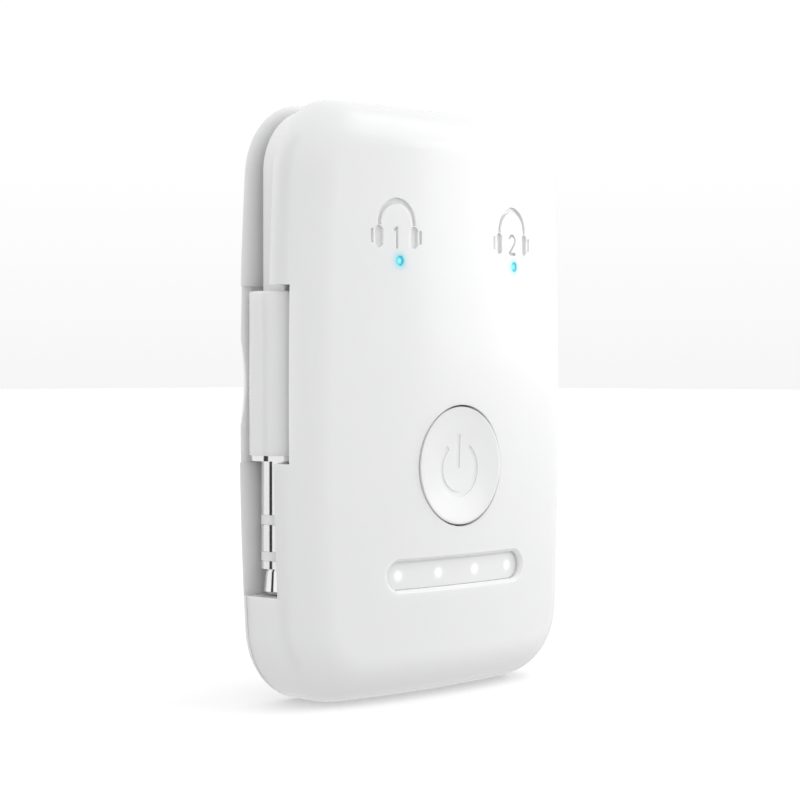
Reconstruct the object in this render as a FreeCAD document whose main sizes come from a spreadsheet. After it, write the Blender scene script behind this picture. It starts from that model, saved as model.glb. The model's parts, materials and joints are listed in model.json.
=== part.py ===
import FreeCAD, Part
import math
import os
import re

# Pocket-size audio receiver: a white pillow-shaped case with a stowed 3.5 mm plug on a
# flat cable that folds out of the left side.
# Row frame: X across the width (plug side is -X), Z up, front face towards -Y.
# "depth" is measured backwards from the crown of the front face.

Vector = FreeCAD.Vector
Rotation = FreeCAD.Rotation
Placement = FreeCAD.Placement

DIMENSIONS = {
    # outer case
    "case_width": 41.7,
    "case_height": 60.0,
    "case_depth": 12.0,
    "corner_radius": 8.0,
    "side_bow": 1.35,
    "front_round_in": 4.8,
    "front_round_back": 6.05,
    "rear_round_in": 4.2,
    "rear_round_back": 1.7,
    "crown_radius": 79.0,
    "wall": 1.3,
    "front_end": 10.15,
    "rear_start": 10.25,
    "rear_inner": 10.9,
    "lip": 0.7,
    # plug, cable and the places cut for them
    "plug_x": -17.7,
    "plug_depth": 8.3,
    "barrel_radius": 2.92,
    "barrel_bottom": 24.75,
    "barrel_top": 40.8,
    "barrel_pocket_radius": 3.12,
    "barrel_pocket_bottom": 24.0,
    "barrel_pocket_top": 41.35,
    "pin_radius": 1.75,
    "pin_pocket_floor": 10.95,
    "pin_pocket_front": 5.98,
    "pin_clear": 0.65,
    "groove_front": 6.6,
    "cable_width": 3.2,
    "cable_thick": 1.5,
    "cable_bend": 5.8,
    "cable_bend_z": 52.6,
    "cable_inner_end": 0.5,
    "cable_pivot_z": 50.7,
    "cable_gap": 0.06,
    "groove_clear": 0.2,
    "groove_end": -5.0,
    "rib": 0.8,
    "rib_back": 10.8,
    # controls and lights on the face
    "button_z": 23.39,
    "button_radius": 5.99,
    "button_gap": 0.2,
    "button_dish": 0.45,
    "lamp_x": 8.64,
    "lamp_z": 43.9,
    "lamp_radius": 0.46,
    "window_z": 12.65,
    "window_length": 20.7,
    "window_height": 3.5,
    "window_sink": 0.7,
    "window_bevel": 0.34,
    "dot_pitch": 5.5,
    "icon_z": 47.6,
    "icon_shift": -0.37,
    "icon_depth": 0.3,
    # circuit board
    "board_left": -13.3,
    "board_right": 17.6,
    "board_bottom": 2.2,
    "board_top": 55.9,
    "board_front": 5.6,
    "board_back": 6.4,
    # battery
    "cell_left": -13.0,
    "cell_right": 14.0,
    "cell_bottom": 15.0,
    "cell_top": 46.0,
    "cell_front": 7.0,
    "cell_back": 10.6,
    # charging port
    "port_width": 8.94,
    "port_thick": 3.2,
    "port_length": 7.3,
    "port_bottom": 0.5,
    "port_wall": 0.3,
    # sound hole on top
    "mic_x": 7.3,
    "mic_depth": 6.1,
    "mic_hole_radius": 0.6,
}
D = DIMENSIONS

doc = FreeCAD.newDocument("audio_receiver")
sheet = doc.addObject("Spreadsheet::Sheet", "dims")
for row, (alias, value) in enumerate(D.items(), start=1):
    sheet.set(f"A{row}", alias)
    sheet.set(f"B{row}", str(value))
    sheet.setAlias(f"B{row}", alias)
doc.recompute()

ALIASES = re.compile(r"\b(" + "|".join(sorted(D, key=len, reverse=True)) + r")\b")
HALF = "(case_depth / 2)"
nodes = {}


def linked(text):
    """Turn bare dimension names into references to the sheet."""
    return ALIASES.sub(r"dims.\1", str(text))


def bind(obj, **formulas):
    for path, text in formulas.items():
        obj.setExpression(path.replace("__", "."), linked(text))


def place(obj, x, depth, z, turn=None):
    """Bind a placement given as X, depth behind the face, and height."""
    if turn is not None:
        obj.Placement = Placement(Vector(0, 0, 0), turn)
    bind(obj, Placement__Base__x=x, Placement__Base__y=f"({depth}) - {HALF}", Placement__Base__z=z)


def block(name, x, depth, z):
    """Box between two X values, two depths and two heights."""
    obj = doc.addObject("Part::Box", name)
    bind(obj, Length=f"({x[1]}) - ({x[0]})", Width=f"({depth[1]}) - ({depth[0]})",
         Height=f"({z[1]}) - ({z[0]})")
    place(obj, x[0], depth[0], z[0])
    return obj


TURN = {
    "x": Rotation(Vector(0, 1, 0), 90),
    "y": Rotation(Vector(1, 0, 0), -90),
    "z": Rotation(),
}


def rod(name, axis, x, depth, z, radius, length):
    """Cylinder that starts at a point and runs along +X, +Y (back) or +Z."""
    obj = doc.addObject("Part::Cylinder", name)
    bind(obj, Radius=radius, Height=length)
    place(obj, x, depth, z, TURN[axis])
    return obj


def cone(name, x, depth, z, radius1, radius2, length):
    obj = doc.addObject("Part::Cone", name)
    bind(obj, Radius1=radius1, Radius2=radius2, Height=length)
    place(obj, x, depth, z)
    return obj


def cut(name, base, *tools):
    obj = doc.addObject("Part::Cut", name)
    obj.Base = base
    obj.Tool = tools[0] if len(tools) == 1 else fuse(name + "_tools", *tools)
    return obj


def fuse(name, *shapes):
    obj = doc.addObject("Part::MultiFuse", name)
    obj.Shapes = list(shapes)
    return obj


def common(name, *shapes):
    obj = doc.addObject("Part::MultiCommon", name)
    obj.Shapes = list(shapes)
    return obj


def group(name, *shapes):
    obj = doc.addObject("Part::Compound", name)
    obj.Links = list(shapes)
    return obj


def tube(name, x, depth, z, outer, inner, length):
    """Ring with its axis along Z."""
    wall = rod(name + "_outer", "z", x, depth, z, outer, length)
    hole = rod(name + "_inner", "z", x, depth, f"({z}) - 1", inner, f"({length}) + 2")
    return cut(name, wall, hole)


def stadium(name, x, depth, z, length, height, thick):
    """Slot-shaped plate facing the front, centred on x and z."""
    run = f"(({length}) - ({height}))/2"
    bar = block(name + "_bar", (f"({x}) - {run}", f"({x}) + {run}"), (depth, f"({depth}) + ({thick})"),
                (f"({z}) - ({height})/2", f"({z}) + ({height})/2"))
    ends = [rod(f"{name}_end{side}", "y", f"({x}) + {sign}*{run}", depth, z, f"({height})/2", thick)
            for side, sign in (("a", -1), ("b", 1))]
    return fuse(name, bar, *ends)


def slot_up(name, x, depth, z, width, thick, length):
    """Slot-shaped bar standing upright, centred on x and depth."""
    run = f"(({width}) - ({thick}))/2"
    bar = block(name + "_bar", (f"({x}) - {run}", f"({x}) + {run}"),
                (f"({depth}) - ({thick})/2", f"({depth}) + ({thick})/2"), (z, f"({z}) + ({length})"))
    ends = [rod(f"{name}_end{side}", "z", f"({x}) + {sign}*{run}", depth, z, f"({thick})/2", length)
            for side, sign in (("a", -1), ("b", 1))]
    return fuse(name, bar, *ends)


def eased(kind, name, base, size, keep):
    doc.recompute()
    obj = doc.addObject(kind, name)
    obj.Base = base
    picked = [i for i, edge in enumerate(base.Shape.Edges, start=1) if keep(edge)]
    obj.Edges = [(i, size, size) for i in picked]
    return obj


def rounded(name, base, radius, keep):
    """Fillet the edges that keep() accepts."""
    return eased("Part::Fillet", name, base, radius, keep)


def bevelled(name, base, width, keep):
    """Chamfer the edges that keep() accepts."""
    return eased("Part::Chamfer", name, base, width, keep)


def along(edge, axis):
    """True for a straight edge parallel to a coordinate axis."""
    if len(edge.Vertexes) != 2:
        return False
    step = edge.Vertexes[1].Point - edge.Vertexes[0].Point
    return abs(abs(step.normalize().dot(axis)) - 1) < 1e-6 and edge.Curve.TypeId == "Part::GeomLine"


def origin_plane(body, role):
    return next(item for item in body.Origin.OriginFeatures if item.Role == role)


def sketch_on(body, role, name):
    sketch = body.newObject("Sketcher::SketchObject", name)
    sketch.AttachmentSupport = [(origin_plane(body, role), "")]
    sketch.MapMode = "FlatFace"
    return sketch


def pad_outline(name, geometry, depth, thick):
    """Pad a closed outline, drawn in X and Z, backwards from a depth."""
    body = doc.addObject("PartDesign::Body", name)
    sketch = sketch_on(body, "XZ_Plane", name + "_sketch")
    for item in geometry:
        sketch.addGeometry(item, False)
    pad = body.newObject("PartDesign::Pad", name + "_pad")
    pad.Profile = sketch
    pad.Reversed = True
    bind(pad, Length=thick)
    doc.recompute()
    bind(body, Placement__Base__y=f"({depth}) - {HALF}")
    return body


def line(x0, z0, x1, z1):
    return Part.LineSegment(Vector(x0, z0, 0), Vector(x1, z1, 0))


def polygon(points):
    return [line(*a, *b) for a, b in zip(points, points[1:] + points[:1])]


def arc(x, z, radius, start, end):
    """Arc in a sketch, angles in degrees, drawn anticlockwise from start to end."""
    return Part.ArcOfCircle(Part.Circle(Vector(x, z, 0), Vector(0, 0, 1), radius),
                            math.radians(start), math.radians(end))


def polar(x, z, radius, angle):
    return x + radius * math.cos(math.radians(angle)), z + radius * math.sin(math.radians(angle))


def arc_stroke(x, z, radius, start, end, width):
    """Closed outline of a curved stroke of even width."""
    inner, outer = radius - width / 2, radius + width / 2
    return [arc(x, z, outer, start, end), line(*polar(x, z, outer, end), *polar(x, z, inner, end)),
            arc(x, z, inner, start, end), line(*polar(x, z, inner, start), *polar(x, z, outer, start))]


def straight_stroke(x0, z0, x1, z1, width):
    """Closed outline of a straight stroke of even width."""
    length = math.hypot(x1 - x0, z1 - z0)
    nx, nz = (z1 - z0) / length * width / 2, -(x1 - x0) / length * width / 2
    return polygon([(x0 + nx, z0 + nz), (x1 + nx, z1 + nz), (x1 - nx, z1 - nz), (x0 - nx, z0 - nz)])


# ---------------------------------------------------------------- pillow-shaped blanks

def pillow(name, inset, front, back, round_in, round_back, crowned, rear=False):
    """Bowed rounded rectangle with one rim rounded off in an elliptical section.

    It is built with its depth squeezed by round_in / round_back, given a plain round
    edge, and stretched back. front and back are depths; rear rounds the back rim.
    """
    stretch = round_back / round_in
    half_w = D["case_width"] / 2 - inset
    half_h = D["case_height"] / 2 - inset
    bow = D["side_bow"]
    bow_radius = (half_h ** 2 + bow ** 2) / (2 * bow)
    middle = D["case_height"] / 2
    body = doc.addObject("PartDesign::Body", name + "_blank")
    outline = sketch_on(body, "XZ_Plane", name + "_outline")
    narrow = half_w - bow
    span = math.degrees(math.asin(half_h / bow_radius))
    outline.addGeometry(arc(half_w - bow_radius, middle, bow_radius, -span, span), False)
    outline.addGeometry(line(narrow, middle + half_h, -narrow, middle + half_h), False)
    outline.addGeometry(arc(bow_radius - half_w, middle, bow_radius, 180 - span, 180 + span), False)
    outline.addGeometry(line(-narrow, middle - half_h, narrow, middle - half_h), False)
    pad = body.newObject("PartDesign::Pad", name + "_pad")
    pad.Profile = outline
    pad.Reversed = True
    pad.Length = (back - front) / stretch
    doc.recompute()
    corners = body.newObject("PartDesign::Fillet", name + "_corners")
    upright = [f"Edge{i}" for i, edge in enumerate(pad.Shape.Edges, start=1)
               if along(edge, Vector(0, 1, 0))]
    corners.Base = (pad, upright)
    corners.Radius = D["corner_radius"] - inset
    doc.recompute()
    last = corners
    if crowned:
        radius = (D["crown_radius"] - inset) * stretch
        cap = sketch_on(body, "XY_Plane", name + "_crown")
        reach = half_w + 3
        sag = radius - math.sqrt(radius ** 2 - reach ** 2)
        swing = math.degrees(math.asin(reach / radius))
        cap.addGeometry(arc(0, radius, radius, 270 - swing, 270 + swing), False)
        cap.addGeometry(line(reach, sag, reach, -5), False)
        cap.addGeometry(line(reach, -5, -reach, -5), False)
        cap.addGeometry(line(-reach, -5, -reach, sag), False)
        pocket = body.newObject("PartDesign::Pocket", name + "_crown_cut")
        pocket.Profile = cap
        pocket.Type = 1
        pocket.Reversed = True
        doc.recompute()
        last = pocket
    rim = []
    for i, edge in enumerate(last.Shape.Edges, start=1):
        box = edge.BoundBox
        at_front = box.YMax < (3.0 if crowned else 0.01)
        at_back = box.YMin > (back - front) / stretch - 0.01
        if (at_back if rear else at_front):
            rim.append(f"Edge{i}")
    ease = body.newObject("PartDesign::Fillet", name + "_ease")
    ease.Base = (last, rim)
    ease.Radius = round_in
    doc.recompute()
    body.Tip = ease
    stretched = doc.addObject("Part::Scale", name + "_stretched")
    stretched.Base = body
    stretched.Uniform = False
    stretched.XScale = 1.0
    stretched.YScale = stretch
    stretched.ZScale = 1.0
    place(stretched, "0", f"{front}", "0")
    return stretched


front_blank = pillow("front", 0.0, 0.0, D["front_end"], D["front_round_in"], D["front_round_back"],
                     True)
front_inside = pillow("inside", D["wall"], D["wall"], D["front_end"] + 1.0,
                      D["front_round_in"] - D["wall"], D["front_round_back"] - D["wall"], True)
rear_pillow = pillow("rear", 0.0, D["rear_start"], D["case_depth"] + 0.02, D["rear_round_in"],
                     D["rear_round_back"], False, rear=True)
# trimmed to a true plane, which the case lies on
flat_back = block("flat_back", ("-30", "30"), ("rear_start - 1", "case_depth"), ("-5", "case_height + 5"))
rear_blank = common("rear_blank", rear_pillow, flat_back)

# ---------------------------------------------------------------- front housing

bend_x = D["plug_x"] + D["cable_bend"]
bend_z = D["cable_bend_z"]
groove_inner = D["cable_bend"] - D["cable_thick"] / 2 - D["groove_clear"]
wall_inner = groove_inner - D["rib"]


def corner_band(radius, right, low):
    """Outline of everything outside a quarter turn round the cable's bend."""
    return [line(-25, low, bend_x - radius, low), line(bend_x - radius, low, bend_x - radius, bend_z),
            arc(bend_x, bend_z, radius, 90, 180), line(bend_x, bend_z + radius, right, bend_z + radius),
            line(right, bend_z + radius, right, 63), line(right, 63, -25, 63), line(-25, 63, -25, low)]


groove_wall = pad_outline(
    "groove_wall", corner_band(wall_inner, D["groove_end"] + D["rib"], D["barrel_pocket_top"] + D["rib"]),
    "groove_front - 0.6", "6")
pocket_wall = block("pocket_wall", ("-25", "plug_x + barrel_pocket_radius + rib"), ("3.1", "12"),
                    ("pin_pocket_floor - rib", "barrel_pocket_top + rib"))
hollow = cut("front_hollow", front_inside, groove_wall, pocket_wall)
shell = cut("front_shell", front_blank, hollow)

# ribs that carry the pocket and groove walls back to the rear cover
rib_band = cut("rib_band", pad_outline("rib_outer", corner_band(wall_inner, D["groove_end"] + D["rib"],
                                                                D["barrel_pocket_top"]),
                                       "9.5", "rib_back - 9.5"),
               pad_outline("rib_inner", corner_band(groove_inner, D["groove_end"] + 2,
                                                    D["barrel_pocket_top"] - 1), "9", "3"))
rib_side = block("rib_side", ("plug_x + barrel_pocket_radius", "plug_x + barrel_pocket_radius + rib"),
                 ("9", "rib_back"), ("pin_pocket_floor - rib", "barrel_pocket_top + rib"))
rib_end = block("rib_end", ("groove_end", "groove_end + rib"), ("9.5", "rib_back"),
                ("cable_bend_z + 4.0", "case_height - 1.9"))
rib_floor = block("rib_floor", ("-19", "plug_x + barrel_pocket_radius + rib"), ("9.5", "rib_back"),
                  ("pin_pocket_floor - rib", "pin_pocket_floor"))

BOSSES = [(-10.5, 50.6, 1.5), (14.0, 50.4, 2.1), (-10.5, 6.2, 1.5), (13.6, 6.6, 1.9)]
bosses = [rod(f"boss{i}", "y", x, start, z, "1.5", f"board_front - {start}")
          for i, (x, z, start) in enumerate(BOSSES)]
boss_holes = [rod(f"boss_hole{i}", "y", x, "3", z, "0.75", "6") for i, (x, z, start) in enumerate(BOSSES)]

groove = pad_outline("groove", corner_band(groove_inner, D["groove_end"], D["barrel_pocket_top"] - 0.5),
                     "groove_front", "8")
barrel_bay = rod("barrel_bay", "z", "plug_x", "plug_depth", "barrel_pocket_bottom",
                 "barrel_pocket_radius", "barrel_pocket_top - barrel_pocket_bottom")
barrel_mouth_points = [(-25, 3.6), (-20.8, 4.15), (-17.7, 5.18), (-14.58, 8.3), (-14.58, 14), (-25, 14)]


def flat_prism(name, points, bottom, top):
    """Prism standing on a height, its outline given in X and depth."""
    body = doc.addObject("PartDesign::Body", name)
    sketch = sketch_on(body, "XY_Plane", name + "_sketch")
    for item in polygon([(x, depth) for x, depth in points]):
        sketch.addGeometry(item, False)
    pad = body.newObject("PartDesign::Pad", name + "_pad")
    pad.Profile = sketch
    bind(pad, Length=f"({top}) - ({bottom})")
    doc.recompute()
    place(body, "0", "0", bottom)
    return body


barrel_mouth = flat_prism("barrel_mouth", barrel_mouth_points, "barrel_pocket_bottom", "barrel_pocket_top")
pin_mouth = block("pin_mouth", ("-25", "plug_x"), ("pin_pocket_front", "14"),
                  ("pin_pocket_floor", "barrel_pocket_bottom + 0.5"))
pin_room = block("pin_room", ("-20.0", "plug_x + pin_radius + pin_clear"),
                 ("plug_depth - pin_radius - pin_clear", "14"),
                 ("pin_pocket_floor", "barrel_pocket_bottom + 0.5"))
cable_hole = block("cable_hole", ("groove_end - 0.5", "groove_end + rib + 0.5"),
                   ("plug_depth - cable_width/2 - 0.08", "plug_depth + cable_width/2 + 0.08"),
                   ("cable_bend_z + cable_bend - cable_thick/2 - 0.08",
                    "cable_bend_z + cable_bend + cable_thick/2 + 0.08"))
cable_bay = block("cable_bay", ("groove_end + rib", "3.5"), ("6.3", "12"), ("52", "case_height - 0.7"))
button_hole = rod("button_hole", "y", "0", "-1", "button_z", "button_radius + button_gap", "4")
lamp_holes = [rod(f"lamp_hole{i}", "y", f"{side}*lamp_x", "-1", "lamp_z", "lamp_radius + 0.04", "4")
              for i, side in enumerate((-1, 1))]
window_hole = stadium("window_hole", "0", "-1", "window_z", "window_length - 2*window_bevel",
                      "window_height - 2*window_bevel", "4")


# the cutter for the sloping rim runs RIM_OUT past the face and RIM_IN past the slope's inner edge
RIM_OUT = 0.1
RIM_IN = 0.05
window_recess = stadium("window_recess", "0", "-1", "window_z", f"window_length + {2 * RIM_OUT}",
                        f"window_height + {2 * RIM_OUT}", "4")
recess_core = rod("recess_core", "z", "0", "crown_radius", "0", f"crown_radius - window_bevel - {RIM_IN}",
                  "case_height")
recess_plain = cut("recess_plain", window_recess, recess_core)


def on_recess_floor(edge):
    """True for the edges round the inner end of the recess, which follow the crown."""
    middle = edge.valueAt((edge.FirstParameter + edge.LastParameter) / 2)
    reach = math.hypot(middle.x, D["crown_radius"] - D["case_depth"] / 2 - middle.y)
    return abs(reach - (D["crown_radius"] - D["window_bevel"] - RIM_IN)) < 0.001


window_mouth = bevelled("window_mouth", recess_plain, D["window_bevel"] + RIM_IN + RIM_OUT, on_recess_floor)
PORT_DEPTH = "board_back + port_thick/2"
port_hole = slot_up("port_hole", "0", PORT_DEPTH, "-1", "port_width + 0.24", "port_thick + 0.24", "9")
mic_hole = rod("mic_hole", "z", "mic_x", "mic_depth", "case_height - 2.5", "mic_hole_radius", "4")


def stroke_bodies(name, loops, depth, thick):
    return [pad_outline(f"{name}{i}", loop, depth, thick) for i, loop in enumerate(loops)]


def headphone(x, z):
    """Outlines of a headphone sign: band, two ear pads, two ear shells."""
    leg = z - 0.2
    high, low = z + 0.08, z - 0.08
    wide, narrow = 2.42, 1.98
    band = [arc(x, high, wide, 0, 180), line(x - wide, high, x - wide, leg),
            line(x - wide, leg, x - narrow, leg), line(x - narrow, leg, x - narrow, low),
            arc(x, low, narrow, 0, 180), line(x + narrow, low, x + narrow, leg),
            line(x + narrow, leg, x + wide, leg), line(x + wide, leg, x + wide, high)]
    loops = [band]
    for side in (-1, 1):
        for near, far, top, bottom in ((1.73, 2.76, -0.28, -2.45), (2.88, 3.26, -0.62, -2.02)):
            ease = (far - near) * 0.3
            corners = [(x + side * (near + ease), z + top), (x + side * (far - ease), z + top),
                       (x + side * far, z + top - ease), (x + side * far, z + bottom + ease),
                       (x + side * (far - ease), z + bottom), (x + side * (near + ease), z + bottom),
                       (x + side * near, z + bottom + ease), (x + side * near, z + top - ease)]
            loops.append(polygon(corners))
    return loops


icon_left = -D["lamp_x"] + D["icon_shift"]
icon_right = D["lamp_x"] + D["icon_shift"]
icon_z = D["icon_z"]
digit_one = [straight_stroke(icon_left, icon_z - 0.35, icon_left, icon_z - 2.5, 0.3),
             straight_stroke(icon_left - 0.42, icon_z - 0.75, icon_left + 0.04, icon_z - 0.42, 0.24)]
digit_two = [arc_stroke(icon_right, icon_z - 1.0, 0.55, -35, 165, 0.3),
             straight_stroke(icon_right + 0.5, icon_z - 1.25, icon_right - 0.52, icon_z - 2.38, 0.3),
             straight_stroke(icon_right - 0.62, icon_z - 2.38, icon_right + 0.66, icon_z - 2.38, 0.3)]
signs = fuse("signs_through", *stroke_bodies("icon_left", headphone(icon_left, icon_z), "-0.5", "3"),
             *stroke_bodies("icon_right", headphone(icon_right, icon_z), "-0.5", "3"),
             *stroke_bodies("digit_one", digit_one, "-0.5", "3"),
             *stroke_bodies("digit_two", digit_two, "-0.5", "3"))
crown_core = rod("crown_core", "z", "0", "crown_radius", "0", "crown_radius - icon_depth", "case_height")
engraving = cut("face_engraving", signs, crown_core)

housing_solid = fuse("housing_solid", shell, rib_band, rib_side, rib_end, rib_floor, *bosses)
nodes["front_housing"] = cut("front_housing", housing_solid, groove, barrel_bay, barrel_mouth, pin_mouth,
                             pin_room, cable_hole, cable_bay, button_hole, *lamp_holes, window_hole,
                             window_mouth, port_hole, mic_hole, *boss_holes, engraving)

# ---------------------------------------------------------------- rear cover

half_w = D["case_width"] / 2 - D["lip"]
half_h = D["case_height"] / 2 - D["lip"]
bow_radius = (half_h ** 2 + D["side_bow"] ** 2) / (2 * D["side_bow"])
span = math.degrees(math.asin(half_h / bow_radius))
middle = D["case_height"] / 2
narrow = half_w - D["side_bow"]
dish_outline = [arc(half_w - bow_radius, middle, bow_radius, -span, span),
                line(narrow, middle + half_h, -narrow, middle + half_h),
                arc(bow_radius - half_w, middle, bow_radius, 180 - span, 180 + span),
                line(-narrow, middle - half_h, narrow, middle - half_h)]
dish_plain = pad_outline("dish_plain", dish_outline, "rear_start - 1", "rear_inner - rear_start + 1")
dish = rounded("dish", dish_plain, D["corner_radius"] - D["lip"],
               lambda edge: along(edge, Vector(0, 1, 0)))
rear_bay = rod("rear_bay", "z", "plug_x", "plug_depth", "barrel_pocket_bottom", "barrel_pocket_radius",
               "barrel_pocket_top - barrel_pocket_bottom")
rear_sweep = block("rear_sweep", ("-25", "plug_x"), ("10", "plug_depth + barrel_radius + 0.07"),
                   ("barrel_pocket_bottom", "barrel_pocket_top"))
SCOOP_RADIUS = 13.2
SCOOP_DEPTH = 1.5
scoop = rod("scoop", "y", f"-case_width/2 + {SCOOP_DEPTH} - {SCOOP_RADIUS}", "10", "31.95",
            SCOOP_RADIUS, "4")
# along the open groove the cover has no lip, so its inner face runs out to the rim
lip_relief = pad_outline("lip_relief", corner_band(groove_inner, D["groove_end"], D["pin_pocket_floor"]),
                         "rear_start - 1", "rear_inner - rear_start + 1")
nodes["rear_cover"] = cut("rear_cover", rear_blank, dish, lip_relief, rear_bay, rear_sweep, scoop)

# ---------------------------------------------------------------- lights behind the face

window_block = stadium("window_block", "0", "0", "window_z", "window_length - 2*window_bevel - 0.04",
                       "window_height - 2*window_bevel - 0.04", "2.6")
window_crown = rod("window_crown", "z", "0", "crown_radius", "0", "crown_radius - window_sink", "case_height")
window_body = common("window_body", window_block, window_crown)
window_flange = stadium("window_flange", "0", "2.25", "window_z", "window_length + 1.4",
                        "window_height + 1.4", "0.45")
DOTS = (-1.5, -0.5, 0.5, 1.5)
window_posts = [rod(f"window_post{i}", "y", f"{k}*dot_pitch", "2.5", "window_z", "0.7", "2.4")
                for i, k in enumerate(DOTS)]
nodes["battery_window"] = fuse("battery_window", window_body, window_flange, *window_posts)

pipes = [rod(f"pipe{i}", "y", f"{side}*lamp_x", "0.6", "lamp_z", "lamp_radius", "4.3")
         for i, side in enumerate((-1, 1))]
pipe_bar = block("pipe_bar", ("-lamp_x", "lamp_x"), ("2.0", "2.7"), ("lamp_z - 0.6", "lamp_z + 0.6"))
pipe_collars = [rod(f"pipe_collar{i}", "y", f"{side}*lamp_x", "2.0", "lamp_z", "1.0", "0.7")
                for i, side in enumerate((-1, 1))]
nodes["status_light_pipes"] = fuse("status_light_pipes", pipe_bar, *pipes, *pipe_collars)

# ---------------------------------------------------------------- circuit board and what it carries

board_plain = block("board_plain", ("board_left", "board_right"), ("board_front", "board_back"),
                    ("board_bottom", "board_top"))
board_left_round = rounded("board_left_round", board_plain, 3.0,
                           lambda edge: along(edge, Vector(0, 1, 0)) and edge.BoundBox.XMax < 0)
board_round = rounded("board_round", board_left_round, 5.5, lambda edge: (
    along(edge, Vector(0, 1, 0)) and edge.BoundBox.XMin > D["board_right"] - 0.1))
board_holes = [rod(f"board_hole{i}", "y", x, "board_front - 1", z, "0.85", "3")
               for i, (x, z, start) in enumerate(BOSSES)]
nodes["main_board"] = cut("main_board", board_round, *board_holes)


def board_chip(name, x, z, width, height, thick, back=False):
    """Flat part soldered to the board, centred on x and z."""
    depth = ("board_back", f"board_back + {thick}") if back else (f"board_front - {thick}", "board_front")
    return block(name, (f"({x}) - {width}/2", f"({x}) + {width}/2"), depth,
                 (f"({z}) - {height}/2", f"({z}) + {height}/2"))


nodes["battery_level_lamps"] = group("battery_level_lamps", *[
    board_chip(f"level_lamp{i}", f"{k}*dot_pitch", "window_z", 1.6, 0.8, 0.6) for i, k in enumerate(DOTS)])
nodes["status_lamps"] = group("status_lamps", *[
    board_chip(f"status_lamp{i}", f"{side}*lamp_x", "lamp_z", 1.6, 0.8, 0.6)
    for i, side in enumerate((-1, 1))])
nodes["bluetooth_chip"] = board_chip("bluetooth_chip", "1.5", "35.5", 5.0, 5.0, 0.9)
can_outer = board_chip("can_outer", "2.5", "35.5", 11.5, 9.0, 1.6)
can_inner = block("can_inner", ("2.5 - 5.6", "2.5 + 5.6"), ("board_front - 1.45", "board_front + 1"),
                  ("35.5 - 4.35", "35.5 + 4.35"))
nodes["shield_can"] = cut("shield_can", can_outer, can_inner)
nodes["crystal_can"] = board_chip("crystal_can", "6.4", "35.5", 2.0, 2.5, 0.6)
nodes["chip_antenna"] = board_chip("chip_antenna", "0", "54.2", 7.0, 2.0, 1.0)
nodes["microphone"] = board_chip("microphone", "mic_x", "53.2", 3.5, 2.65, 1.0)
nodes["charge_chip"] = board_chip("charge_chip", "9.5", "17.5", 3.0, 3.0, 0.9)
PASSIVES = [(-5.6, 33.0), (-5.6, 35.2), (-5.6, 37.4), (11.4, 33.0), (11.4, 35.2), (11.4, 37.4),
            (7.0, 15.6), (7.0, 17.5), (7.0, 19.4), (12.6, 17.5), (12.6, 19.4), (-8.0, 17.5), (-8.0, 19.4)]
nodes["passive_parts"] = group("passive_parts", *[
    board_chip(f"passive{i}", x, z, 1.6, 0.8, 0.7) for i, (x, z) in enumerate(PASSIVES)])

switch_outer = board_chip("switch_outer", "0", "button_z", 6.0, 6.0, 2.6)
switch_bore = rod("switch_bore", "y", "0", "board_front - 3", "button_z", "1.8", "1.8")
nodes["switch_base"] = cut("switch_base", switch_outer, switch_bore)

screw_shanks = [rod(f"screw_shank{i}", "y", x, "3.2", z, "0.7", "board_back - 3.2")
                for i, (x, z, start) in enumerate(BOSSES)]
screw_heads = [rod(f"screw_head{i}", "y", x, "board_back", z, "1.3", "0.4")
               for i, (x, z, start) in enumerate(BOSSES)]
screws = [fuse(f"screw{i}", shank, head) for i, (shank, head) in enumerate(zip(screw_shanks, screw_heads))]
nodes["board_screws"] = group("board_screws", *screws)

# ---------------------------------------------------------------- charging port

port_outer = slot_up("port_outer", "0", PORT_DEPTH, "port_bottom", "port_width", "port_thick",
                     "port_length")
port_inner = slot_up("port_inner", "0", PORT_DEPTH, "port_bottom - 1", "port_width - 2*port_wall",
                     "port_thick - 2*port_wall", "port_length")
nodes["usb_receptacle_shell"] = cut("usb_receptacle_shell", port_outer, port_inner)
nodes["usb_tongue"] = block("usb_tongue", ("-3.35", "3.35"),
                            (f"{PORT_DEPTH} - 0.35", f"{PORT_DEPTH} + 0.35"),
                            ("port_bottom + 1.6", "port_bottom + port_length - 1"))
contacts = []
for row_sign in (-1, 1):
    for i in range(12):
        x = (i - 5.5) * 0.5
        low = f"{PORT_DEPTH} + 0.35" if row_sign > 0 else f"{PORT_DEPTH} - 0.41"
        contacts.append(block(f"contact{i}_{'back' if row_sign > 0 else 'front'}",
                              (f"{x} - 0.125", f"{x} + 0.125"), (low, f"{low} + 0.06"),
                              ("port_bottom + 2.0", "port_bottom + port_length - 1")))
nodes["usb_contacts"] = group("usb_contacts", *contacts)

# ---------------------------------------------------------------- battery

cell_plain = block("cell_plain", ("cell_left", "cell_right"), ("cell_front", "cell_back"),
                   ("cell_bottom", "cell_top"))
nodes["battery_cell"] = rounded("battery_cell", cell_plain, 1.1, lambda edge: along(edge, Vector(0, 0, 1)))
nodes["battery_pad"] = block("battery_pad", ("cell_left + 3", "cell_right - 3"),
                             ("cell_back", "rear_inner"), ("cell_bottom + 3", "cell_top - 3"))


def cord(name, runs, radius):
    """Round cords swept along smooth curves through points given as X, depth, Z."""
    solids = []
    for run in runs:
        points = [Vector(x, depth - D["case_depth"] / 2, z) for x, depth, z in run]
        curve = Part.BSplineCurve()
        curve.interpolate(points)
        spine = Part.Wire([curve.toShape()])
        start = curve.tangent(curve.FirstParameter)[0]
        ring = Part.Wire([Part.makeCircle(radius, points[0], start)])
        solids.append(spine.makePipeShell([ring], True, True))
    obj = doc.addObject("Part::Feature", name)
    obj.Shape = Part.makeCompound(solids)
    return obj


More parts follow.
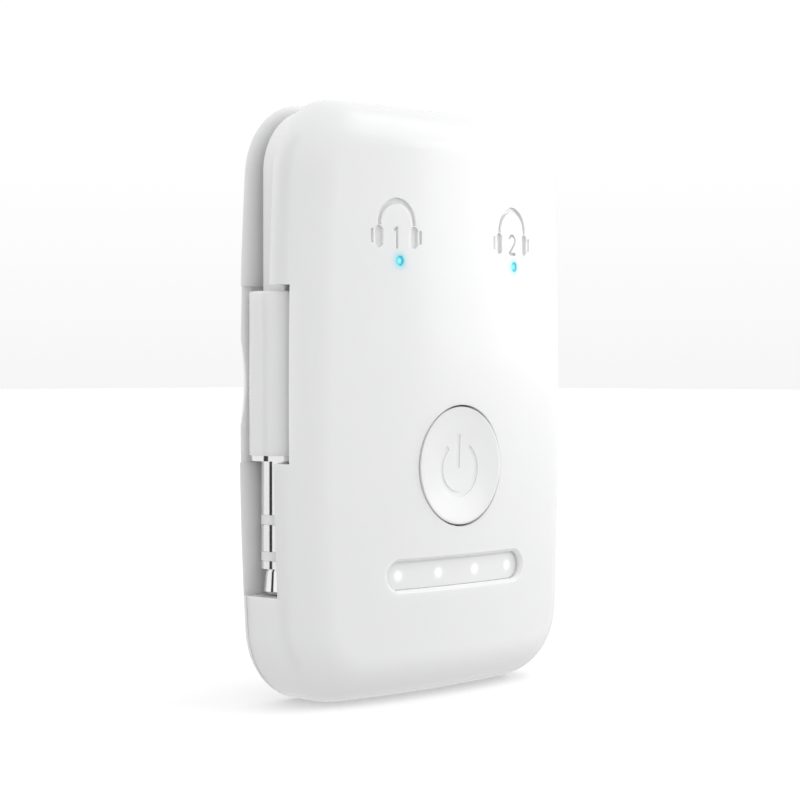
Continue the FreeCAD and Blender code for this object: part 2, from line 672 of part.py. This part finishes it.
top_run = bend_z + D["cable_bend"]
nodes["battery_leads"] = cord("battery_leads", [
    [(x, 8.7, D["cell_top"] + 0.05), (x, 8.7, 47.1), (x, 8.2, 48.5), (x, 7.2, 49.1), (x, 6.45, 49.2)]
    for x in (0.6, 2.4)], 0.4)
nodes["cable_wires"] = cord("cable_wires", [
    [(0.56, depth, top_run), (0.8, depth, top_run), (1.4 + k, depth, top_run - 0.15),
     (2.1 + k, depth - 0.1, top_run - 1.2), (2.3 + k, depth - 0.5, top_run - 2.6), (2.3 + k, 6.45, 54.8)]
    for k, depth in ((0.9, 7.6), (0.45, 8.3), (0.0, 9.0))], 0.22)

# ---------------------------------------------------------------- cable held in the groove

half_thick = D["cable_thick"] / 2
pivot_z = D["cable_pivot_z"]
cable_low = pivot_z + half_thick + D["cable_gap"]
outer_r, inner_r = D["cable_bend"] + half_thick, D["cable_bend"] - half_thick
plug_x = D["plug_x"]
held_outline = [line(plug_x - half_thick, cable_low + 0.65, plug_x - half_thick, bend_z),
                arc(bend_x, bend_z, outer_r, 90, 180),
                line(bend_x, bend_z + outer_r, D["cable_inner_end"], bend_z + outer_r),
                line(D["cable_inner_end"], bend_z + outer_r, D["cable_inner_end"], bend_z + inner_r),
                line(D["cable_inner_end"], bend_z + inner_r, bend_x, bend_z + inner_r),
                arc(bend_x, bend_z, inner_r, 90, 180),
                line(plug_x + half_thick, bend_z, plug_x + half_thick, cable_low),
                line(plug_x + half_thick, cable_low, plug_x - half_thick, cable_low + 0.65)]
nodes["flat_cable"] = pad_outline("flat_cable", held_outline, "plug_depth - cable_width/2", "cable_width")

anchor_block = block("anchor_block", ("-3.6", "-0.4"), ("6.38", "10.3"),
                     ("cable_bend_z + cable_bend - 2.6", "case_height - 0.72"))
anchor_slot = block("anchor_slot", ("-5", "1"),
                    ("plug_depth - cable_width/2 - 0.03", "plug_depth + cable_width/2 + 0.03"),
                    ("cable_bend_z + cable_bend - cable_thick/2 - 0.03", "case_height + 1"))
nodes["cable_anchor"] = cut("cable_anchor", anchor_block, anchor_slot)

# ---------------------------------------------------------------- plug that swings out

tail_low = "barrel_top - 5.0"
tail_bar = block("tail_bar", ("plug_x - cable_thick/2", "plug_x + cable_thick/2"),
                 ("plug_depth - cable_width/2", "plug_depth + cable_width/2"), (tail_low, "cable_pivot_z"))
tail_round = rod("tail_round", "y", "plug_x", "plug_depth - cable_width/2", "cable_pivot_z",
                 "cable_thick/2", "cable_width")
nodes["cable_tail"] = fuse("cable_tail", tail_bar, tail_round)

barrel_rod = rod("barrel_rod", "z", "plug_x", "plug_depth", "barrel_bottom", "barrel_radius",
                 "barrel_top - barrel_bottom")
barrel_eased = rounded("barrel_eased", barrel_rod, 0.2,
                       lambda edge: edge.Closed and edge.BoundBox.ZMin > D["barrel_top"] - 0.01)
barrel_hollow = rod("barrel_hollow", "z", "plug_x", "plug_depth", "barrel_bottom + 0.8", "2.2",
                    "barrel_top - barrel_bottom - 2.0")
barrel_mouth_hole = rod("barrel_mouth_hole", "z", "plug_x", "plug_depth", "barrel_bottom - 1",
                        "pin_radius + 0.03", "3")
tail_slot = block("tail_slot", ("plug_x - cable_thick/2 - 0.03", "plug_x + cable_thick/2 + 0.03"),
                  ("plug_depth - cable_width/2 - 0.03", "plug_depth + cable_width/2 + 0.03"),
                  ("barrel_top - 2", "barrel_top + 1"))
nodes["plug_barrel"] = cut("plug_barrel", barrel_eased, barrel_hollow, barrel_mouth_hole, tail_slot)

# heights of the joints between the contacts, from the collar down to the nose
COLLAR_LOW, SLEEVE_LOW, UPPER_LOW, RING_LOW, LOWER_LOW = 24.22, 18.93, 17.98, 15.34, 14.43
SHOULDER_LOW, NECK_LOW, BULB_LOW, NOSE_LOW = 13.63, 13.39, 11.4, 11.05
CORE_TOP = 28.75
RADII = (0.42, 0.66, 0.90, 1.14)
SKIN = 0.02


def plug_tube(name, low, top, outer, inner):
    return tube(name, "plug_x", "plug_depth", low, outer, inner, top - low)


nodes["plug_collar"] = plug_tube("plug_collar", COLLAR_LOW, D["barrel_bottom"] - 0.01, 2.75,
                                 D["pin_radius"] + SKIN)
nodes["plug_sleeve"] = fuse(
    "plug_sleeve",
    plug_tube("sleeve_face", SLEEVE_LOW, COLLAR_LOW, "pin_radius", RADII[3] + SKIN),
    plug_tube("sleeve_root", COLLAR_LOW - 0.2, CORE_TOP - 2.4, "pin_radius - 0.2", RADII[3] + SKIN))
nodes["plug_insulator_upper"] = fuse(
    "plug_insulator_upper",
    plug_tube("upper_washer", UPPER_LOW, SLEEVE_LOW - SKIN, "pin_radius", RADII[2] + SKIN),
    plug_tube("upper_tube", SLEEVE_LOW - 0.2, CORE_TOP - 1.6, RADII[3], RADII[2] + SKIN))
nodes["plug_ring"] = fuse(
    "plug_ring",
    plug_tube("ring_face", RING_LOW, UPPER_LOW - SKIN, "pin_radius", RADII[1] + SKIN),
    plug_tube("ring_tube", UPPER_LOW - 0.2, CORE_TOP - 0.8, RADII[2], RADII[1] + SKIN))
nodes["plug_insulator_lower"] = fuse(
    "plug_insulator_lower",
    plug_tube("lower_washer", LOWER_LOW, RING_LOW - SKIN, "pin_radius", RADII[0] + SKIN),
    plug_tube("lower_tube", RING_LOW - 0.2, CORE_TOP - 0.4, RADII[1], RADII[0] + SKIN))
nodes["plug_tip"] = fuse(
    "plug_tip",
    rod("tip_rod", "z", "plug_x", "plug_depth", NECK_LOW, RADII[0], CORE_TOP - NECK_LOW),
    rod("tip_shoulder", "z", "plug_x", "plug_depth", SHOULDER_LOW, "pin_radius",
        LOWER_LOW - SKIN - SHOULDER_LOW),
    rod("tip_neck", "z", "plug_x", "plug_depth", NECK_LOW - 0.05, 1.2, SHOULDER_LOW - NECK_LOW + 0.1),
    cone("tip_bulb", "plug_x", "plug_depth", BULB_LOW, 1.5, 1.32, NECK_LOW - BULB_LOW),
    cone("tip_nose", "plug_x", "plug_depth", NOSE_LOW, 1.0, 1.5, BULB_LOW - NOSE_LOW))
core_rod = rod("core_rod", "z", "plug_x", "plug_depth", D["barrel_bottom"] + 1.0, "2.1",
               CORE_TOP + 1.5 - D["barrel_bottom"] - 1.0)
core_bore = rod("core_bore", "z", "plug_x", "plug_depth", D["barrel_bottom"], "pin_radius + 0.05",
                CORE_TOP - D["barrel_bottom"] + 0.5)
nodes["plug_core"] = cut("plug_core", core_rod, core_bore)

# ---------------------------------------------------------------- push button

cap_face = rod("cap_face", "y", "0", "0.1", "button_z", "button_radius", "1.7")
cap_flange = rod("cap_flange", "y", "0", "1.75", "button_z", "button_radius + 0.75", "0.5")
cap_stem = rod("cap_stem", "y", "0", "2.2", "button_z", "1.5", "0.4")
cap_solid = fuse("cap_solid", cap_face, cap_flange, cap_stem)
DISH_RIM = 5.82
dish_radius = (DISH_RIM ** 2 + D["button_dish"] ** 2) / (2 * D["button_dish"])


def dish_ball(name, deeper):
    """Ball whose front of sphere is the button's hollow, set deeper into the cap."""
    ball = doc.addObject("Part::Sphere", name)
    ball.Radius = dish_radius
    place(ball, "0", f"0.1 + button_dish - {dish_radius} + {deeper}", "button_z")
    return ball


cap_dish = dish_ball("cap_dish", 0)
SIGN_DEPTH = 0.09
sign_z = D["button_z"] - 0.34
power_strokes = stroke_bodies("power_stroke", [arc_stroke(0, sign_z, 2.62, 125, 415, 0.56),
                                               straight_stroke(0, sign_z + 0.1, 0, sign_z + 3.5, 0.56)],
                              "-0.5", "1.4")
power_sign = common("power_sign", fuse("power_strokes", *power_strokes), dish_ball("sign_floor", SIGN_DEPTH))
nodes["power_button"] = cut("power_button", cap_solid, cap_dish, power_sign)
nodes["switch_plunger"] = rod("switch_plunger", "y", "0", "2.62", "button_z", "1.7", "1.2")

# ---------------------------------------------------------------- names, checks and export

doc.recompute()
os.makedirs("parts", exist_ok=True)
for name, obj in nodes.items():
    obj.Label = name
    shape = obj.Shape
    if shape.isNull() or not shape.isValid() or not shape.Solids:
        raise RuntimeError(f"{name} has no sound solid")
    shape.exportStep(f"parts/{name}.step")
    box = shape.BoundBox
    print(f"{name:22s} solids {len(shape.Solids):2d} volume {shape.Volume:9.2f} "
          f"x {box.XMin:6.2f} {box.XMax:6.2f} y {box.YMin:6.2f} {box.YMax:6.2f} z {box.ZMin:6.2f} {box.ZMax:6.2f}")
for obj in doc.Objects:
    if "Invalid" in obj.State or "Error" in obj.State:
        raise RuntimeError(f"{obj.Name} did not recompute: {obj.State}")
print(len(nodes), "sub-parts")
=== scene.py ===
import json
import math

import bpy
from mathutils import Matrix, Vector


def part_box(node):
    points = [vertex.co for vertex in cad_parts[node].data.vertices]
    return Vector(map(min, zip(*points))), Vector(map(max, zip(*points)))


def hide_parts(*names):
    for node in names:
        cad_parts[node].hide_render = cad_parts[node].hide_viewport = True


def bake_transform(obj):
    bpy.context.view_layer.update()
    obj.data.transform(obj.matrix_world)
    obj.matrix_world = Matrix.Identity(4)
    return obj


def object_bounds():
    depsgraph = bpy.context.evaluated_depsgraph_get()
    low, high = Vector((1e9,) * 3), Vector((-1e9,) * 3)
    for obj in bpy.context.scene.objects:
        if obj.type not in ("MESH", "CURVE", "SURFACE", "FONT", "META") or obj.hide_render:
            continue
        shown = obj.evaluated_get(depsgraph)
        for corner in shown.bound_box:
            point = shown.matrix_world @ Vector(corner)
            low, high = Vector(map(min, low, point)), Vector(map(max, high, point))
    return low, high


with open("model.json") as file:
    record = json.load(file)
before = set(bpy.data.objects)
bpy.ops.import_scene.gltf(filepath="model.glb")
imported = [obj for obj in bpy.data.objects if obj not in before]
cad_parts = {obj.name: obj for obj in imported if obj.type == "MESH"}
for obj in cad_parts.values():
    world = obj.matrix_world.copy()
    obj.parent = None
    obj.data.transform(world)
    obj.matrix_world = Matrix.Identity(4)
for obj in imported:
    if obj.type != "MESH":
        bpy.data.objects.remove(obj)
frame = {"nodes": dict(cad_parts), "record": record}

first_low, first_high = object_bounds()
MM = 0.001

# ------------------------------------------------------------------ node helpers


class Finish:
    """A Principled material with short ways to lay procedural detail on it.

    Every pattern reads object coordinates, in metres, so its scale is a real size.
    """

    def __init__(self, name, color, roughness, metallic=0.0, **sockets):
        self.material = bpy.data.materials.new(name)
        self.material.use_nodes = True
        self.tree = self.material.node_tree
        self.shader = self.tree.nodes["Principled BSDF"]
        self.put("Base Color", (*color, 1.0))
        self.put("Roughness", roughness)
        self.put("Metallic", metallic)
        for label, value in sockets.items():
            self.put(label.replace("_", " "), value)
        self.place = self.tree.nodes.new("ShaderNodeTexCoord").outputs["Object"]
        self.normal = None

    def put(self, label, value):
        self.shader.inputs[label].default_value = value

    def link(self, a, b):
        self.tree.links.new(a, b)

    def stretched(self, factors):
        """The coordinates, multiplied along each axis."""
        node = self.tree.nodes.new("ShaderNodeVectorMath")
        node.operation = "MULTIPLY"
        self.link(self.place, node.inputs[0])
        node.inputs[1].default_value = factors
        return node.outputs["Vector"]

    def noise(self, size_mm, detail=3.0, rough=0.5, place=None):
        """Noise whose features are about size_mm across."""
        node = self.tree.nodes.new("ShaderNodeTexNoise")
        node.inputs["Scale"].default_value = 1.0 / (size_mm * MM)
        node.inputs["Detail"].default_value = detail
        node.inputs["Roughness"].default_value = rough
        self.link(place or self.place, node.inputs["Vector"])
        return node.outputs["Fac"]

    def cells(self, size_mm, place=None):
        node = self.tree.nodes.new("ShaderNodeTexVoronoi")
        node.inputs["Scale"].default_value = 1.0 / (size_mm * MM)
        self.link(place or self.place, node.inputs["Vector"])
        return node.outputs["Distance"]

    def span(self, value, low, high, out_low, out_high):
        """Maps low..high to out_low..out_high, held at both ends."""
        node = self.tree.nodes.new("ShaderNodeMapRange")
        node.inputs["From Min"].default_value = low
        node.inputs["From Max"].default_value = high
        node.inputs["To Min"].default_value = out_low
        node.inputs["To Max"].default_value = out_high
        self.link(value, node.inputs["Value"])
        return node.outputs["Result"]

    def blend(self, value, first, second):
        """A colour between first and second as value goes from 0 to 1."""
        node = self.tree.nodes.new("ShaderNodeMix")
        node.data_type = "RGBA"
        node.inputs["A"].default_value = (*first, 1.0)
        node.inputs["B"].default_value = (*second, 1.0)
        self.link(value, node.inputs["Factor"])
        return node.outputs["Result"]

    def math(self, operation, a, b):
        node = self.tree.nodes.new("ShaderNodeMath")
        node.operation = operation
        for socket, value in zip(node.inputs, (a, b)):
            if isinstance(value, (int, float)):
                socket.default_value = value
            else:
                self.link(value, socket)
        return node.outputs["Value"]

    def tint(self, value, first, second):
        self.link(self.blend(value, first, second), self.shader.inputs["Base Color"])

    def gloss(self, value, low, high):
        """Roughness that wanders between low and high."""
        self.link(self.span(value, 0.3, 0.7, low, high), self.shader.inputs["Roughness"])

    def bump(self, value, depth_mm, strength=1.0):
        """Relief of depth_mm, laid over any relief already there."""
        node = self.tree.nodes.new("ShaderNodeBump")
        node.inputs["Strength"].default_value = strength
        node.inputs["Distance"].default_value = depth_mm * MM
        self.link(value, node.inputs["Height"])
        if self.normal is not None:
            self.link(self.normal, node.inputs["Normal"])
        self.normal = node.outputs["Normal"]
        self.link(self.normal, self.shader.inputs["Normal"])

    def glow(self, spots, reach_mm, peak):
        """Falls from peak at each spot (x, z) outwards, over reach_mm, on the front half only."""
        split = self.tree.nodes.new("ShaderNodeSeparateXYZ")
        self.link(self.place, split.inputs["Vector"])
        total = 0.0
        for x, z in spots:
            across = self.math("SUBTRACT", split.outputs["X"], x)
            upward = self.math("SUBTRACT", split.outputs["Z"], z)
            square = self.math("ADD", self.math("MULTIPLY", across, across),
                               self.math("MULTIPLY", upward, upward))
            fade = self.math("POWER", 2.718, self.math("MULTIPLY", square, -1.0 / (reach_mm * MM) ** 2))
            total = self.math("ADD", fade, total)
        on_front = self.math("LESS_THAN", split.outputs["Y"], 0.0)
        return self.math("MULTIPLY", self.math("MULTIPLY", total, peak), on_front)


# ------------------------------------------------------------------ places taken from the parts

lamps_low, lamps_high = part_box("status_lamps")
LAMP_HALF = 0.8 * MM
LAMP_X = lamps_high.x - LAMP_HALF
LAMP_Z = (lamps_low.z + lamps_high.z) / 2
STATUS_SPOTS = [(-LAMP_X, LAMP_Z), (LAMP_X, LAMP_Z)]
level_low, level_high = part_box("battery_level_lamps")
LEVEL_HALF = level_high.z - level_low.z
LEVEL_Z = (level_low.z + level_high.z) / 2
LEVEL_END = level_high.x - LEVEL_HALF
LEVEL_SPOTS = [(LEVEL_END * k / 3, LEVEL_Z) for k in (-3, -1, 1, 3)]

# ------------------------------------------------------------------ finishes


def case_white():
    """Glossy white plastic, with the blue glow of the status lights painted into its colour around their
    holes.
    """
    f = Finish("case_white", (0.73, 0.73, 0.735), 0.2, IOR=1.5, Coat_Weight=0.25, Coat_Roughness=0.08,
               Subsurface_Weight=0.5, Subsurface_Scale=1.6 * MM)
    f.put("Subsurface Radius", (1.0, 1.0, 1.0))
    plain_white = f.blend(f.noise(9.0, 4.0), (0.708, 0.710, 0.716), (0.725, 0.726, 0.728))
    # painted glow: the blue light of the status lamps is painted into the case colour around their holes,
    # not cast by the lamps
    painted_lamp_glow = f.tree.nodes.new("ShaderNodeMix")
    painted_lamp_glow.data_type = "RGBA"
    f.link(f.glow(STATUS_SPOTS, 0.60, 1.35), painted_lamp_glow.inputs["Factor"])
    f.link(plain_white, painted_lamp_glow.inputs["A"])
    painted_lamp_glow.inputs["B"].default_value = (0.06, 0.66, 0.76, 1.0)
    f.link(painted_lamp_glow.outputs["Result"], f.shader.inputs["Base Color"])
    f.gloss(f.noise(3.0, 5.0, 0.6), 0.17, 0.26)
    f.bump(f.noise(1.6, 2.0), 0.004)
    f.bump(f.noise(0.12, 2.0), 0.0006)
    return f.material


def diffuser():
    f = Finish("diffuser", (0.8, 0.81, 0.82), 0.35, IOR=1.5)
    f.tint(f.noise(2.5, 4.0), (0.705, 0.707, 0.712), (0.725, 0.727, 0.73))
    f.gloss(f.noise(0.8, 4.0), 0.28, 0.42)
    f.bump(f.noise(0.25, 3.0), 0.003)
    # painted glow: the four gauge dots are emission painted on the window, not light from the lamps behind
    # it
    f.put("Emission Color", (0.95, 0.98, 1.0, 1.0))
    f.link(f.glow(LEVEL_SPOTS, 0.42, 0.5), f.shader.inputs["Emission Strength"])
    return f.material


def light_pipe():
    # painted glow: the pipe is given emission in place of light from the lamp behind it, and its colour is
    # painted lighter at the middle of each spot
    f = Finish("light_pipe", (0.02, 0.18, 0.22), 0.2, IOR=1.45, Emission_Strength=1.0)
    painted_glow_core = f.glow(STATUS_SPOTS, 0.27, 1.0)
    f.tint(painted_glow_core, (0.02, 0.16, 0.2), (0.10, 0.32, 0.34))
    f.bump(f.noise(0.2, 2.0), 0.002)
    f.link(f.blend(painted_glow_core, (0.0, 0.28, 0.42), (0.15, 0.80, 0.90)), f.shader.inputs["Emission Color"])
    return f.material


def lamp_body():
    f = Finish("lamp_body", (0.88, 0.88, 0.8), 0.4)
    f.tint(f.noise(0.4, 3.0), (0.82, 0.82, 0.72), (0.92, 0.92, 0.86))
    f.bump(f.noise(0.1, 2.0), 0.004)
    return f.material


def circuit_board():
    f = Finish("circuit_board", (0.02, 0.16, 0.07), 0.35)
    brick = f.tree.nodes.new("ShaderNodeTexBrick")
    brick.inputs["Scale"].default_value = 260.0
    brick.inputs["Mortar Size"].default_value = 0.03
    brick.inputs["Color1"].default_value = (0.015, 0.15, 0.06, 1.0)
    brick.inputs["Color2"].default_value = (0.02, 0.19, 0.08, 1.0)
    brick.inputs["Mortar"].default_value = (0.05, 0.30, 0.14, 1.0)
    turn = f.tree.nodes.new("ShaderNodeMapping")
    turn.inputs["Rotation"].default_value = (math.radians(90), 0.0, 0.0)
    f.link(f.place, turn.inputs["Vector"])
    f.link(turn.outputs["Vector"], brick.inputs["Vector"])
    f.link(brick.outputs["Color"], f.shader.inputs["Base Color"])
    f.gloss(f.noise(0.7, 4.0), 0.25, 0.45)
    f.bump(brick.outputs["Fac"], 0.02)
    return f.material


def chip_black():
    f = Finish("chip_black", (0.02, 0.02, 0.022), 0.5)
    f.tint(f.noise(0.5, 4.0), (0.012, 0.012, 0.014), (0.035, 0.035, 0.038))
    f.bump(f.cells(0.12), 0.006)
    return f.material


def tinned_steel():
    f = Finish("tinned_steel", (0.7, 0.7, 0.71), 0.3, 1.0)
    f.tint(f.noise(1.5, 4.0), (0.62, 0.62, 0.63), (0.78, 0.78, 0.79))
    f.gloss(f.noise(0.5, 5.0, 0.6, f.stretched((6.0, 1.0, 1.0))), 0.2, 0.42)
    f.bump(f.noise(0.3, 3.0, 0.5, f.stretched((8.0, 1.0, 1.0))), 0.003)
    return f.material


def ceramic_part():
    f = Finish("ceramic_part", (0.6, 0.52, 0.42), 0.45)
    f.tint(f.noise(0.6, 5.0), (0.48, 0.40, 0.31), (0.68, 0.60, 0.50))
    f.bump(f.noise(0.08, 3.0), 0.004)
    return f.material


def screw_steel():
    f = Finish("screw_steel", (0.55, 0.55, 0.56), 0.3, 1.0)
    f.tint(f.noise(0.7, 3.0), (0.46, 0.46, 0.47), (0.62, 0.62, 0.63))
    f.gloss(f.noise(0.2, 3.0), 0.22, 0.4)
    f.bump(f.noise(0.15, 2.0, 0.5, f.stretched((1.0, 6.0, 1.0))), 0.004)
    return f.material


def contact_gold():
    f = Finish("contact_gold", (0.9, 0.66, 0.26), 0.2, 1.0)
    f.tint(f.noise(0.5, 3.0), (0.82, 0.58, 0.20), (0.95, 0.72, 0.32))
    f.gloss(f.noise(0.2, 3.0), 0.15, 0.3)
    f.bump(f.noise(0.1, 2.0), 0.002)
    return f.material


def cell_foil():
    f = Finish("cell_foil", (0.7, 0.71, 0.72), 0.3, 1.0)
    f.tint(f.noise(4.0, 4.0), (0.62, 0.63, 0.64), (0.76, 0.77, 0.78))
    f.gloss(f.noise(1.0, 5.0), 0.22, 0.4)
    f.bump(f.noise(2.5, 4.0, 0.6), 0.06)
    return f.material


def foam():
    f = Finish("foam", (0.08, 0.08, 0.08), 0.9)
    f.tint(f.noise(0.5, 3.0), (0.05, 0.05, 0.05), (0.13, 0.13, 0.13))
    f.bump(f.cells(0.35), 0.08)
    return f.material


def lead_insulation():
    f = Finish("lead_insulation", (0.5, 0.04, 0.04), 0.4)
    f.tint(f.noise(0.8, 3.0), (0.42, 0.03, 0.03), (0.58, 0.06, 0.05))
    f.bump(f.noise(0.15, 2.0), 0.003)
    return f.material


def cable_white():
    f = Finish("cable_white", (0.84, 0.84, 0.845), 0.42, IOR=1.46, Sheen_Weight=0.05)
    f.tint(f.noise(3.0, 4.0), (0.77, 0.77, 0.774), (0.80, 0.80, 0.803))
    f.gloss(f.noise(0.8, 4.0), 0.36, 0.5)
    f.bump(f.noise(0.25, 3.0, 0.5, f.stretched((1.0, 3.0, 0.4))), 0.005)
    return f.material


def plug_metal():
    f = Finish("plug_metal", (0.90, 0.90, 0.905), 0.1, 1.0)
    f.tint(f.noise(1.2, 4.0), (0.87, 0.87, 0.875), (0.93, 0.93, 0.935))
    turned = f.noise(0.22, 3.0, 0.6, f.stretched((0.15, 0.15, 4.0)))
    f.gloss(turned, 0.06, 0.14)
    f.bump(turned, 0.0012)
    return f.material


def plug_insulation():
    f = Finish("plug_insulation", (0.72, 0.72, 0.72), 0.45)
    f.tint(f.noise(0.6, 4.0), (0.66, 0.66, 0.665), (0.76, 0.76, 0.762))
    f.bump(f.noise(0.12, 3.0), 0.004)
    return f.material


FINISHES = {make.__name__: make() for make in (
    case_white, diffuser, light_pipe, lamp_body, circuit_board, chip_black, tinned_steel, ceramic_part,
    screw_steel, contact_gold, cell_foil, foam, lead_insulation, cable_white, plug_metal,
    plug_insulation)}
for entry in frame["record"]["subparts"]:
    mesh = frame["nodes"][entry["node"]].data
    mesh.materials.clear()
    mesh.materials.append(FINISHES[entry["material_slot"]])

# ------------------------------------------------------------------ the flat cable, in one bending piece

run_low, run_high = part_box("flat_cable")
tail_low, tail_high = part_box("cable_tail")
THICK = tail_high.x - tail_low.x
WIDTH = tail_high.y - tail_low.y
CABLE_X = (tail_low.x + tail_high.x) / 2
CABLE_Y = (tail_low.y + tail_high.y) / 2
TOP_Z = run_high.z - THICK / 2
BEND = 5.8 * MM
EDGE = 0.25 * MM
RING = 6


def cable_path():
    """Points along the cable's middle from the plug to the inside end, each with the way out of the case."""
    points = []
    low = tail_low.z
    corner = TOP_Z - BEND
    steps = 64
    for i in range(steps):
        z = low + (corner - low) * i / steps
        points.append((Vector((CABLE_X, CABLE_Y, z)), Vector((-1, 0, 0))))
    turns = 28
    for i in range(turns + 1):
        a = math.radians(90.0 * i / turns)
        out = Vector((-math.cos(a), 0.0, math.sin(a)))
        points.append((Vector((CABLE_X + BEND, CABLE_Y, corner)) + BEND * out, out))
    flats = 24
    start = CABLE_X + BEND
    for i in range(1, flats + 1):
        x = start + (run_high.x - start) * i / flats
        points.append((Vector((x, CABLE_Y, TOP_Z)), Vector((0, 0, 1))))
    return points


def cable_section():
    """Outline of the flat cable, (outwards, along Y), with rounded edges."""
    outline = []
    for across, along, first in ((1, 1, 0), (-1, 1, 90), (-1, -1, 180), (1, -1, 270)):
        for i in range(RING + 1):
            a = math.radians(first + 90.0 * i / RING)
            outline.append((across * (THICK / 2 - EDGE) + EDGE * math.cos(a),
                            along * (WIDTH / 2 - EDGE) + EDGE * math.sin(a)))
    return outline


def build_cable():
    outline = cable_section()
    path = cable_path()
    vertices = [point + out * u + Vector((0, v, 0)) for point, out in path for u, v in outline]
    count = len(outline)
    faces = []
    for ring in range(len(path) - 1):
        for k in range(count):
            a = ring * count + k
            b = ring * count + (k + 1) % count
            faces.append((a, a + count, b + count, b))
    faces.append(tuple(range(count)))
    faces.append(tuple((len(path) - 1) * count + k for k in reversed(range(count))))
    mesh = bpy.data.meshes.new("flat_audio_cable")
    mesh.from_pydata(vertices, [], faces)
    mesh.update()
    for face in mesh.polygons:
        face.use_smooth = len(face.vertices) == 4
    cable = bpy.data.objects.new("flat_audio_cable", mesh)
    bpy.context.scene.collection.objects.link(cable)
    mesh.materials.append(FINISHES["cable_white"])
    return cable


cable = build_cable()
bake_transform(cable)
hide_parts("flat_cable", "cable_tail")

# ------------------------------------------------------------------ floor, light and camera

MIDDLE = Vector((0.0, 0.0, (first_low.z + first_high.z) / 2))


def floor_material():
    f = Finish("studio_floor", (0.93, 0.93, 0.93), 0.6)
    f.tint(f.noise(40.0, 2.0), (0.965, 0.965, 0.965), (0.975, 0.975, 0.975))
    return f.material


bpy.ops.mesh.primitive_plane_add(size=6.0, location=(0, 0, first_low.z))
floor = bpy.context.object
floor.name = "studio_floor"
floor.data.materials.append(floor_material())
floor.visible_diffuse = False
floor.visible_glossy = False
floor.visible_shadow = False

SKY = 1.04
GROUND = 0.82
HORIZON = 0.15


def soft_dome():
    """Even light from above, SKY, and weaker light from below, GROUND, which meet softly at the horizon."""
    world = bpy.data.worlds.new("soft_dome")
    bpy.context.scene.world = world
    world.use_nodes = True
    tree = world.node_tree
    split = tree.nodes.new("ShaderNodeSeparateXYZ")
    tree.links.new(tree.nodes.new("ShaderNodeTexCoord").outputs["Generated"], split.inputs["Vector"])
    level = tree.nodes.new("ShaderNodeMapRange")
    level.inputs["From Min"].default_value = -HORIZON
    level.inputs["From Max"].default_value = HORIZON
    level.inputs["To Min"].default_value = GROUND
    level.inputs["To Max"].default_value = SKY
    tree.links.new(split.outputs["Z"], level.inputs["Value"])
    dome = tree.nodes["Background"]
    dome.inputs["Color"].default_value = (1.0, 1.0, 1.0, 1.0)
    tree.links.new(level.outputs["Result"], dome.inputs["Strength"])


soft_dome()


def softbox(name, turn_deg, far, height, rise_deg, size, watts, mirrored):
    """An area light turned by turn_deg from the front towards +X, at the distance far.

    It points back at the part, tipped up by rise_deg. size is (width, height), and mirrored says whether it
    shows in the glossy surfaces.
    """
    lamp = bpy.data.lights.new(name, "AREA")
    lamp.shape = "RECTANGLE"
    lamp.size, lamp.size_y = size
    lamp.energy = watts
    holder = bpy.data.objects.new(name, lamp)
    turn = math.radians(turn_deg)
    rise = math.radians(rise_deg)
    holder.location = (far * math.sin(turn), -far * math.cos(turn), height)
    aim = Vector((-math.sin(turn) * math.cos(rise), math.cos(turn) * math.cos(rise), math.sin(rise)))
    holder.rotation_mode = "QUATERNION"
    holder.rotation_quaternion = aim.to_track_quat("-Z", "Y")
    holder.visible_glossy = mirrored
    bpy.context.scene.collection.objects.link(holder)


softbox("key_right", 76, 0.15, 0.065, 56, (0.12, 0.12), 0.22, False)
softbox("gloss_right", 64, 0.5, 0.16, -15, (0.5, 0.26), 0.58, True)
softbox("gloss_high", 50, 0.35, 0.45, -50, (0.5, 0.4), 0.42, True)
softbox("fill_left", -46, 0.5, 0.2, -15, (0.4, 0.3), 0.3, False)


def dark_card(turn_deg, far, width, height):
    """A dark vertical card out of sight, which draws the dark line down bright metal."""
    bpy.ops.mesh.primitive_plane_add(size=1.0)
    card = bpy.context.object
    card.name = "dark_card"
    card.scale = (width, height, 1.0)
    turn = math.radians(turn_deg)
    card.location = (far * math.sin(turn), -far * math.cos(turn), MIDDLE.z)
    card.rotation_euler = (math.radians(90), 0.0, turn)
    f = Finish("dark_card", (0.02, 0.02, 0.02), 0.9)
    f.tint(f.noise(60.0, 2.0), (0.018, 0.018, 0.018), (0.022, 0.022, 0.022))
    card.data.materials.append(f.material)
    card.visible_camera = False
    card.visible_diffuse = False
    card.visible_shadow = False


dark_card(-98, 0.10, 0.03, 0.3)

VIEW_TURN = math.radians(46.354)
VIEW_TILT = math.radians(0.80)
VIEW_DISTANCE = 215.83 * MM
VIEW_SHIFT = 1.984 * MM
LENS = 93.644

forward = Vector((math.sin(VIEW_TURN) * math.cos(VIEW_TILT), math.cos(VIEW_TURN) * math.cos(VIEW_TILT),
                  -math.sin(VIEW_TILT)))
rightward = Vector((math.cos(VIEW_TURN), -math.sin(VIEW_TURN), 0.0))
camera_data = bpy.data.cameras.new("camera")
camera_data.lens = LENS
camera_data.sensor_width = 36.0
camera_data.clip_start = 0.01
camera = bpy.data.objects.new("camera", camera_data)
camera.location = MIDDLE - forward * VIEW_DISTANCE - rightward * VIEW_SHIFT
camera.rotation_mode = "QUATERNION"
camera.rotation_quaternion = forward.to_track_quat("-Z", "Y")
bpy.context.scene.collection.objects.link(camera)
bpy.context.scene.camera = camera

bpy.context.scene.view_settings.view_transform = "Standard"
bpy.context.scene.view_settings.look = "None"
